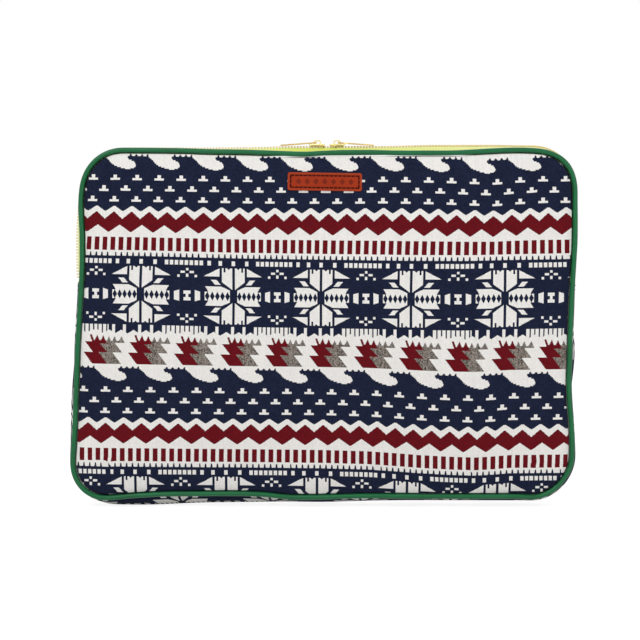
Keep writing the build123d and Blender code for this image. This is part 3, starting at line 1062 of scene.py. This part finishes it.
def tape_shape(profile, k):
    """Each end of a tape goes in under the end of the gusset."""
    here = profile.copy()
    to_end = min(zip_length[k], zip_length[-1] - zip_length[k])
    here[:, 0] += (1.6 - 0.3 * here[:, 0]) * (1 - smoothstep((to_end - 1) / 8))
    return here


def zip_tape(name, side):
    """One half of the zip's tape."""
    profile = [(4.4, 11.3), (3.6, 10.2), (2.9, 9.2), (1.9, 7.7), (1.05, 6.2), (0.5, 5.1),
               (0.22, 4.2), (TAPE_INSET, 3.2), (TAPE_INSET, 2.2), (0.2, 1.3)]
    profile = [(inset, side * y) for inset, y in profile]
    if side < 0:
        profile.reverse()
    strip = swept(name, profile, zip_run, closed_run=False, closed_profile=False,
                  shape=tape_shape)
    widths = arc_lengths(profile)
    if side < 0:
        widths = widths[-1] - widths
    lay_run(strip, zip_length, widths)
    soften(strip, 0.45)
    dress(strip, tape)
    return strip


zip_tape_front = zip_tape("zip_tape_front_strip", -1)
fold_with_flap(zip_tape_front, "zip_tape_front", "zip_tape_front_ends")
zip_tape_back = zip_tape("zip_tape_back_strip", 1)
sewn_to("sleeve_body", zip_tape_back, "zip_tape_back")

# ---------------------------------------------------------------------------------------------
# Zip teeth: small brass teeth clamped on the tape's edges. Each has a base that grips the tape
# and a nose that sits between two teeth of the other row.
brass = Finish("brass_teeth", 0.4, Metallic=0.35)
tarnish = brass.noise(brass.place(), 400.0, 3.0)
brass.colour(brass.mix(tarnish, linear(250, 238, 184), linear(226, 202, 136)))
brass.bump(tarnish, 0.15, 0.1)
TOOTH_PITCH = 2.08
tooth_sections = [(-2.45, 0.36, 0.6), (-2.2, 0.47, 0.84), (-0.75, 0.47, 0.86),
                  (-0.45, 0.3, 0.65), (-0.1, 0.3, 0.65), (0.12, 0.46, 0.78), (0.38, 0.46, 0.74),
                  (0.55, 0.3, 0.5)]
TOOTH_SINK = -0.42
FIRST_TOOTH, LAST_TOOTH = 5.0, 4.5


def tooth_part(side):
    """One tooth, across the zip: its base on one side, its nose over the middle."""
    along = [(y, 0, TOOTH_SINK, half_x, half_z) for y, half_x, half_z in tooth_sections]
    part = section_part("tooth_part", along, sides=4, smooth=False)
    turned = positions(part)[:, [1, 0, 2]] * (1, -side, 1)
    part.data.vertices.foreach_set("co", (turned * MM).ravel())
    face_outwards(part.data)
    return part


def tooth_line(start):
    """The line that the teeth follow over the crown, from just above one end stop."""
    at = np.arange(FIRST_TOOTH + start, zip_length[-1] - LAST_TOOTH, 1.0)
    core_x, core_z, nx, nz = [np.interp(at, zip_length, column) for column in zip_run.T]
    size = np.hypot(nx, nz)
    reach = CORNER - TAPE_INSET
    return settled(np.column_stack([core_x + reach * nx / size, np.zeros(len(at)),
                                    core_z + reach * nz / size]))


for side, name in ((-1, "zip_teeth_front_row"), (1, "zip_teeth_back_row")):
    tooth = tooth_part(side)
    start = 0 if side < 0 else TOOTH_PITCH / 2
    teeth = row_of(name, [tooth_line(start)], tooth, TOOTH_PITCH, brass, tree=upright_row)
    bpy.data.objects.remove(tooth)
    if side < 0:
        fold_with_flap(teeth, "zip_teeth_front", "zip_teeth_front_ends")
    else:
        sewn_to("sleeve_body", teeth, "zip_teeth_back")

# ---------------------------------------------------------------------------------------------
# End stops: a bar of brass crimped over both tapes at each foot of the zip, so that the sliders
# can't run off. The bar has rounded ends and a pinched middle.
stop_sections = [(-3.55, 1.2, 0.35), (-3.3, 1.5, 0.52), (-1.2, 1.7, 0.6), (-0.4, 1.6, 0.5),
                 (0.4, 1.6, 0.5), (1.2, 1.7, 0.6), (3.3, 1.5, 0.52), (3.55, 1.2, 0.35)]
STOP_INSET, STOP_RISE = 0.2, 0.9
stop_points, stop_faces = [], []
for facing in (1, -1):
    bar = section_part("stop_part", [(y, 0, 0, a, b) for y, a, b in stop_sections], sides=8)
    local = positions(bar)
    flat = np.zeros(len(local))
    placed = settled(np.column_stack([flat + facing * (HALF_WIDTH - STOP_INSET), local[:, 0],
                                      flat + ZIP_FOOT + STOP_RISE]))
    placed += np.column_stack([facing * local[:, 2], flat, local[:, 1]])
    stop_faces += [[len(stop_points) + k for k in face.vertices] for face in bar.data.polygons]
    stop_points += placed.tolist()
    bpy.data.objects.remove(bar)
end_stops = make_piece("zip_end_stop_bars", stop_points, stop_faces, closed=True)
soften(end_stops)
dress(end_stops, brass)
sewn_to("sleeve_body", end_stops, "zip_end_stops")

# ---------------------------------------------------------------------------------------------
# Sliders and pulls: die-cast zinc with a pale gold plating. The sliders are polished, and the pulls
# are mottled at random with a darker gold, painted shade that stands in for their shaded faces.
plating = Finish("gold_plating", 0.26, Metallic=0.85)
rubbed = plating.noise(plating.place(), 120.0, 4.0)
plating.colour(plating.mix(rubbed, linear(252, 240, 170), linear(224, 200, 112)))
plating.bump(plating.noise(plating.place(), 900.0, 2.0), 0.1, 0.05)
pull_gold = Finish("pull_plating", 0.3, Metallic=1.0)
# Painted shade: the dark gold in this mottle stands in for the pulls' shaded faces.
pull_shade_mottle = pull_gold.noise(pull_gold.place(), 160.0, 4.0)
pull_gold.colour(pull_gold.mix(pull_shade_mottle, linear(236, 208, 128), linear(176, 132, 64)))
pull_gold.bump(pull_shade_mottle, 0.15, 0.08)
for node, finish in (("zip_slider_left", plating), ("zip_slider_right", plating),
                     ("zip_pull_left", pull_gold), ("zip_pull_right", pull_gold)):
    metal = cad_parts[node].data
    metal.materials.clear()
    metal.materials.append(finish.material)

# ---------------------------------------------------------------------------------------------
# Label: a patch of rust-brown vegetable-tanned leather, cut with rounded corners, with a line
# pressed in along its edge where it is stitched down and a plain row of pressed lozenges. It is
# sewn on slightly askew.
label_low, label_high = (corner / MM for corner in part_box("label"))
LABEL_SHIFT = 1.5
LABEL_X, LABEL_Z = (label_low.x + label_high.x) / 2 + LABEL_SHIFT, (label_low.z + label_high.z) / 2
LABEL_HALF_X, LABEL_HALF_Z = (label_high.x - label_low.x) / 2, (label_high.z - label_low.z) / 2
LABEL_THICK, LABEL_TILT, STITCH_INSET = 1.4, math.radians(-0.9), 2.1
LABEL_BED, PRESS_DEPTH = 0.25, 0.28
LOZENGE_PITCH, LOZENGE_WIDE, LOZENGE_HIGH, LOZENGE_ROW = 6.0, 2.0, 2.4, 20.5

# Stiff leather lies on a smooth bow through the cloth's face under it: height, slope and bow
skin_tree = BVHTree.FromPolygons(front_skin.tolist(), plan_faces)
samples = []
for x in np.linspace(LABEL_X - LABEL_HALF_X, LABEL_X + LABEL_HALF_X, 15):
    for z in np.linspace(LABEL_Z - LABEL_HALF_Z, LABEL_Z + LABEL_HALF_Z, 5):
        hit = skin_tree.ray_cast(Vector((x, -80, z)), Vector((0, 1, 0)))[0]
        samples.append((1, z - LABEL_Z, (x - LABEL_X) ** 2, hit.y))
samples = np.array(samples)
label_rest, label_slope, label_bow = np.linalg.lstsq(samples[:, :3], samples[:, 3], rcond=None)[0]


def on_label(across, up):
    """A place on the label, tilted as it is sewn: x, the bottom of the leather there, and z."""
    x = across * math.cos(LABEL_TILT) - up * math.sin(LABEL_TILT) + LABEL_X
    z = across * math.sin(LABEL_TILT) + up * math.cos(LABEL_TILT) + LABEL_Z
    bed = label_rest + label_slope * (z - LABEL_Z) + label_bow * (x - LABEL_X) ** 2
    return x, bed + LABEL_BED, z


def label_steps(half):
    """Places across the label, closer together at its rounded edges."""
    return np.concatenate([[0, 0.15, 0.4], np.arange(0.8, 2 * half - 0.7, 0.4),
                           2 * half - np.array([0.4, 0.15, 0])]) - half


steps_x, steps_z = label_steps(LABEL_HALF_X), label_steps(LABEL_HALF_Z)
gx, gz = (steps.ravel() for steps in np.meshgrid(steps_x, steps_z))
edge_x, edge_z = LABEL_HALF_X - np.abs(gx), LABEL_HALF_Z - np.abs(gz)
from_edge = np.minimum(edge_x, edge_z)
half_pitch = LOZENGE_PITCH / 2
lozenge = 1.0 - (np.abs((gx + half_pitch) % LOZENGE_PITCH - half_pitch) / LOZENGE_WIDE
                 + np.abs(gz) / LOZENGE_HIGH)
lozenge = np.where(np.abs(gx) < LOZENGE_ROW, np.clip(lozenge * 3, 0, 1), 0)
lozenge_mark = np.clip(1.5 - np.abs(lozenge - 0.7) * 2.4, 0, 1)
pressed = np.exp(-((from_edge - STITCH_INSET) / 0.45) ** 2)
pressed = np.maximum(pressed, 0.85 * lozenge_mark)
rounded = np.sqrt(np.clip(1 - (1 - np.clip(from_edge / 0.5, 0, 1)) ** 2, 0, 1))
cut = 0.55 * np.exp(-(edge_x + edge_z) / 0.5)
gx, gz = gx * (1 - cut / LABEL_HALF_X), gz * (1 - cut / LABEL_HALF_Z)
turn_x, under, turn_z = on_label(gx, gz)
top = under - LABEL_THICK * (0.62 + 0.38 * rounded) + PRESS_DEPTH * pressed
columns, rows = len(steps_x), len(steps_z)
label_points = np.vstack([np.column_stack([turn_x, top, turn_z]),
                          np.column_stack([turn_x, under, turn_z])])
count = columns * rows
label_faces = []
for j in range(rows - 1):
    for i in range(columns - 1):
        at = j * columns + i
        face = (at, at + 1, at + columns + 1, at + columns)
        label_faces += [face, tuple(count + n for n in face[::-1])]
border = [*range(columns), *range(2 * columns - 1, count, columns),
          *range(count - 2, count - columns - 1, -1), *range(count - 2 * columns, 0, -columns)]
for n, this in enumerate(border):
    that = border[(n + 1) % len(border)]
    label_faces.append((this, count + this, count + that, that))
label = make_piece("leather_label", label_points, label_faces, closed=True)
for name, above, below in (("pressed", pressed, np.zeros(count)),
                           ("edge", np.exp(-from_edge / 0.6), np.ones(count))):
    mark = label.data.attributes.new(name, "FLOAT", "POINT")
    mark.data.foreach_set("value", np.concatenate([above, below]))
leather = Finish("tanned_leather", 0.6, Specular_IOR_Level=0.16)
leather_place = leather.place()
hide = leather.noise(leather_place, 70.0, 4.0)
pores = leather.node("TexVoronoi", {"Vector": leather_place, "Scale": 1400.0})
tan = leather.mix(hide, linear(172, 54, 12), linear(142, 41, 9))
for name, share, stain in (("edge", 0.55, linear(190, 88, 50)),
                           ("pressed", 0.85, linear(78, 14, 6))):
    marked = Sum(leather, leather.node("Attribute", attribute_name=name).outputs["Fac"])
    tan = leather.mix(marked * share, tan, stain)
leather.colour(tan)
leather.bump(Sum(leather, pores.outputs[0]) + hide * 0.5, 0.35, 0.2)
dress(label, leather)
sewn_to("front_flap", label, "label")

# Label stitches: waxed dark brown thread, in the pressed line
waxed = Finish("waxed_thread", 0.6, Specular_IOR_Level=0.08)
waxed.twilled(1700.0, (46, 8, 5), (84, 20, 10), 0.5, 0.1)
half_x, half_z = LABEL_HALF_X - STITCH_INSET, LABEL_HALF_Z - STITCH_INSET
STITCH_RISE, CORNER_GAP = 0.18, 1.2
label_lines = []
for end in (1, -1):
    along_x = np.linspace(-half_x + CORNER_GAP, half_x - CORNER_GAP, 40)
    x, y, z = on_label(along_x, end * half_z)
    label_lines.append(np.column_stack([x, y - LABEL_THICK + STITCH_RISE, z]))
for end in (-1, 1):
    along_z = np.linspace(-half_z + CORNER_GAP, half_z - CORNER_GAP, 40)
    x, y, z = on_label(end * half_x, along_z)
    label_lines.append(np.column_stack([x, y - LABEL_THICK + STITCH_RISE, z]))
stitch = stitch_part("stitch_part", 2.0, 1.0)
label_stitches = row_of("label_stitch_rows", label_lines, stitch, 2.85, waxed, spread=0.08, seed=4)
bpy.data.objects.remove(stitch)
sewn_to("front_flap", label_stitches, "label_stitches")

# ---------------------------------------------------------------------------------------------
# Studio: a pale table, a big soft light above the front and two weaker ones, all plain white.
table_points = [(-3000, -2500, 0), (3000, -2500, 0), (3000, 6000, 0), (-3000, 6000, 0)]
lowest = min(positions(piece)[:, 2].min() for piece in (gusset_cloth, front_piping, back_piping))
floor = make_piece("table", np.array(table_points) + (0, 0, lowest), [(0, 1, 2, 3)])
backdrop = Finish("white_table", 0.9)
ray = backdrop.node("LightPath")
seen = Sum(backdrop, ray.outputs["Is Camera Ray"]) | Sum(backdrop, ray.outputs["Is Glossy Ray"])
seen = seen | Sum(backdrop, ray.outputs["Is Transmission Ray"])
matt = backdrop.node("BsdfDiffuse", {"Color": (0.3, 0.3, 0.3, 1)})
glow = backdrop.node("Emission", {"Color": (1, 1, 1, 1), "Strength": 0.86})
both = backdrop.node("AddShader", {0: matt.outputs[0], 1: glow.outputs[0]})
plain = backdrop.node("BsdfDiffuse", {"Color": (0.8, 0.8, 0.8, 1)})
choice = backdrop.node("MixShader", {0: seen, 1: plain.outputs[0], 2: both.outputs[0]})
backdrop.tree.links.new(choice.outputs[0],
                        backdrop.tree.nodes["Material Output"].inputs["Surface"])
floor.data.materials.append(backdrop.material)

world = bpy.context.scene.world or bpy.data.worlds.new("studio")
bpy.context.scene.world = world
world.use_nodes = True
sky = world.node_tree
sky.nodes.clear()
paths, camera_or_glossy, any_seen, light, white_wall, picked, output = (
    sky.nodes.new("ShaderNode" + kind) for kind in
    ("LightPath", "Math", "Math", "Background", "Background", "MixShader", "OutputWorld"))
camera_or_glossy.operation = any_seen.operation = "MAXIMUM"
for wall, strength in ((light, 0.5), (white_wall, 1.0)):
    wall.inputs[0].default_value = (1, 1, 1, 1)
    wall.inputs[1].default_value = strength
for start, end in ((paths.outputs["Is Camera Ray"], camera_or_glossy.inputs[0]),
                   (paths.outputs["Is Glossy Ray"], camera_or_glossy.inputs[1]),
                   (camera_or_glossy.outputs[0], any_seen.inputs[0]),
                   (paths.outputs["Is Transmission Ray"], any_seen.inputs[1]),
                   (any_seen.outputs[0], picked.inputs[0]),
                   (light.outputs[0], picked.inputs[1]),
                   (white_wall.outputs[0], picked.inputs[2]),
                   (picked.outputs[0], output.inputs[0])):
    sky.links.new(start, end)


def softbox(name, place, aim, size, watts):
    """A square area lamp at a place, turned towards a point, both in metres."""
    lamp = bpy.data.lights.new(name, "AREA")
    lamp.shape, lamp.size, lamp.energy = "SQUARE", size, watts
    holder = bpy.data.objects.new(name, lamp)
    bpy.context.scene.collection.objects.link(holder)
    holder.location = place
    holder.rotation_euler = (Vector(aim) - Vector(place)).to_track_quat("-Z", "Y").to_euler()


SLEEVE_MIDDLE = (0, 0, 0.12)
softbox("key", (-0.7, -1.4, 1.5), SLEEVE_MIDDLE, 1.2, 16.5)
softbox("fill", (1.2, -1.3, 0.6), SLEEVE_MIDDLE, 1.0, 5)
softbox("rim", (0.2, 1.4, 1.4), SLEEVE_MIDDLE, 1.0, 6)

CAMERA_RISE = math.radians(3.5)
LENS, SENSOR = 130.0, 36.0
VIEW_WIDTH = 0.441
aim = Vector((-0.0033, -0.015, 0.1264))
distance = VIEW_WIDTH * LENS / SENSOR
camera_data = bpy.data.cameras.new("camera")
camera_data.lens, camera_data.sensor_width = LENS, SENSOR
camera = bpy.data.objects.new("camera", camera_data)
bpy.context.scene.collection.objects.link(camera)
back = Vector((0, -math.cos(CAMERA_RISE), math.sin(CAMERA_RISE)))
camera.location = aim + back * distance
camera.rotation_euler = (-back).to_track_quat("-Z", "Y").to_euler()
bpy.context.scene.camera = camera
bpy.context.scene.view_settings.view_transform = "Standard"
